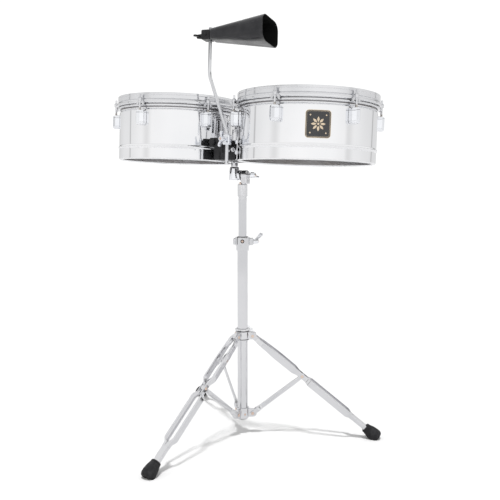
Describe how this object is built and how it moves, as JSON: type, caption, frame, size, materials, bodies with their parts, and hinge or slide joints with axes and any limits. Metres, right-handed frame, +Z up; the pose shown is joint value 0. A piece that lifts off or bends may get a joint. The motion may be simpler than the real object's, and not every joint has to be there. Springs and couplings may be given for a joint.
{
  "type": "timbales",
  "caption": "Pair of shallow chrome steel drums with a black cowbell on a bent rod, carried on a height-adjustable folding tripod stand.",
  "frame": {"origin": "middle of the footprint on the floor, under the middle of the overall box", "axes": "+X along the pair of drums towards the large drum, -Y to the audience, +Z up"},
  "size_m": [0.7504, 0.6346, 1.0974],
  "materials": {
    "chrome": "polished chrome plate",
    "drum_chrome": "mirror chrome plate",
    "head_film": "coated drumhead film",
    "badge_enamel": "black enamel with a brass border",
    "bell_black": "satin black powder coat",
    "bracket_black": "satin black moulding",
    "rubber": "matt black rubber"
  },
  "bodies": {
    "base": {"lower_tube": "chrome", "lower_collar": "chrome", "height_clamp": "chrome"},
    "collar": {"upper_collar": "chrome"},
    "collar_bolt": {"collar_wing_bolt": "chrome"},
    "height_bolt": {"height_wing_bolt": "chrome"},
    "column": {"upper_tube": "chrome", "tilter_base": "chrome"},
    "tilter_nut": {"tilter_wing_nut": "chrome"},
    "receiver": {"tilter_receiver": "chrome"},
    "head": {"post": "chrome", "centre_block": "bracket_black", "badge": "badge_enamel", "large_bracket": "chrome", "large_head": "head_film", "large_hoop": "drum_chrome", "large_lug_1": "chrome", "large_lug_2": "chrome", "large_lug_3": "chrome", "large_lug_4": "chrome", "large_lug_5": "chrome", "large_lug_6": "chrome", "large_shell": "drum_chrome", "large_tension_rod_1": "chrome", "large_tension_rod_2": "chrome", "large_tension_rod_3": "chrome", "large_tension_rod_4": "chrome", "large_tension_rod_5": "chrome", "large_tension_rod_6": "chrome", "small_bracket": "chrome", "small_head": "head_film", "small_hoop": "drum_chrome", "small_lug_1": "chrome", "small_lug_2": "chrome", "small_lug_3": "chrome", "small_lug_4": "chrome", "small_lug_5": "chrome", "small_lug_6": "chrome", "small_shell": "drum_chrome", "small_tension_rod_1": "chrome", "small_tension_rod_2": "chrome", "small_tension_rod_3": "chrome", "small_tension_rod_4": "chrome", "small_tension_rod_5": "chrome", "small_tension_rod_6": "chrome"},
    "rod_clamp": {"rod_clamp": "chrome"},
    "rod_nut": {"rod_wing_nut": "chrome"},
    "rod": {"cowbell_rod": "chrome"},
    "bell": {"cowbell": "bell_black", "bell_clamp": "bracket_black"},
    "bell_bolt": {"bell_wing_bolt": "bracket_black"},
    "brace_1": {"brace_1": "chrome"},
    "leg_1": {"leg_1": "chrome", "foot_1": "rubber"},
    "brace_2": {"brace_2": "chrome"},
    "leg_2": {"leg_2": "chrome", "foot_2": "rubber"},
    "brace_3": {"brace_3": "chrome"},
    "leg_3": {"leg_3": "chrome", "foot_3": "rubber"}
  },
  "joints": [
    {"name": "stand_fold", "type": "hinge", "parent": "base", "child": "brace_1", "pos_m": [0.0273, 0.07128, 0.059], "axis": [0.3371, -0.9415, 0], "range_deg": [0, 38]},
    {"name": "leg_fold_1", "type": "hinge", "parent": "brace_1", "child": "leg_1", "pos_m": [0.15701, 0.11772, 0.169], "axis": [0.3371, -0.9415, 0], "range_deg": [-76, 0]},
    {"name": "collar_slide", "type": "hinge", "parent": "leg_1", "child": "collar", "pos_m": [0.0273, 0.07128, 0.279], "axis": [0.3371, -0.9415, 0], "range_deg": [0, 38]},
    {"name": "brace_fold_2", "type": "hinge", "parent": "base", "child": "brace_2", "pos_m": [-0.02212, 0.08026, 0.059], "axis": [0.6468, 0.7627, 0], "range_deg": [0, 38]},
    {"name": "leg_fold_2", "type": "hinge", "parent": "brace_2", "child": "leg_2", "pos_m": [-0.12719, 0.16937, 0.169], "axis": [0.6468, 0.7627, 0], "range_deg": [-76, 0]},
    {"name": "brace_fold_3", "type": "hinge", "parent": "base", "child": "brace_3", "pos_m": [-0.00519, 0.03297, 0.059], "axis": [-0.9839, 0.1788, 0], "range_deg": [0, 38]},
    {"name": "leg_fold_3", "type": "hinge", "parent": "brace_3", "child": "leg_3", "pos_m": [-0.02982, -0.10259, 0.169], "axis": [-0.9839, 0.1788, 0], "range_deg": [-76, 0]},
    {"name": "collar_bolt_turn", "type": "hinge", "parent": "collar", "child": "collar_bolt", "pos_m": [0.00481, 0.08797, 0.289], "axis": [0.1788, 0.9839, 0], "continuous": true},
    {"name": "height_bolt_turn", "type": "hinge", "parent": "base", "child": "height_bolt", "pos_m": [0.0271, 0.07414, 0.5415], "axis": [0.9063, 0.4226, 0], "continuous": true},
    {"name": "height_slide", "type": "slide", "parent": "base", "child": "column", "axis": [0, 0, 1], "range_m": [-0.1, 0.14]},
    {"name": "tilter_nut_turn", "type": "hinge", "parent": "column", "child": "tilter_nut", "pos_m": [0.0254, 0.0615, 0.722], "axis": [1, 0, 0], "continuous": true},
    {"name": "head_tilt", "type": "hinge", "parent": "column", "child": "receiver", "pos_m": [0, 0.0615, 0.722], "axis": [1, 0, 0], "range_deg": [-45, 20]},
    {"name": "post_turn", "type": "hinge", "parent": "receiver", "child": "head", "pos_m": [-0.02249, 0.0565, 0.72267], "axis": [0.0253, 0.0209, 0.9995], "continuous": true},
    {"name": "rod_clamp_tilt", "type": "hinge", "parent": "head", "child": "rod_clamp", "pos_m": [0.02051, -0.06169, 0.80911], "axis": [-0.0005, 0.9998, -0.0209], "range_deg": [-12, 12]},
    {"name": "rod_nut_turn", "type": "hinge", "parent": "rod_clamp", "child": "rod_nut", "pos_m": [0.02051, -0.06169, 0.80911], "axis": [0.0005, -0.9998, 0.0209], "continuous": true},
    {"name": "rod_turn", "type": "hinge", "parent": "rod_clamp", "child": "rod", "pos_m": [0.01898, -0.06296, 0.74874], "axis": [0.0253, 0.0209, 0.9995], "range_deg": [-45, 90]},
    {"name": "bell_turn", "type": "hinge", "parent": "rod", "child": "bell", "pos_m": [-0.01679, -0.07903, 1.06635], "axis": [0.0253, 0.0209, 0.9995], "continuous": true},
    {"name": "bell_bolt_turn", "type": "hinge", "parent": "bell", "child": "bell_bolt", "pos_m": [-0.03864, -0.08173, 1.06596], "axis": [-0.9922, -0.1218, 0.0277], "continuous": true}
  ],
  "couplings": [
    {"joint": "leg_fold_1", "follows": "stand_fold", "ratio": -2},
    {"joint": "collar_slide", "follows": "stand_fold", "ratio": 1},
    {"joint": "brace_fold_2", "follows": "stand_fold", "ratio": 1},
    {"joint": "leg_fold_2", "follows": "stand_fold", "ratio": -2},
    {"joint": "brace_fold_3", "follows": "stand_fold", "ratio": 1},
    {"joint": "leg_fold_3", "follows": "stand_fold", "ratio": -2}
  ]
}
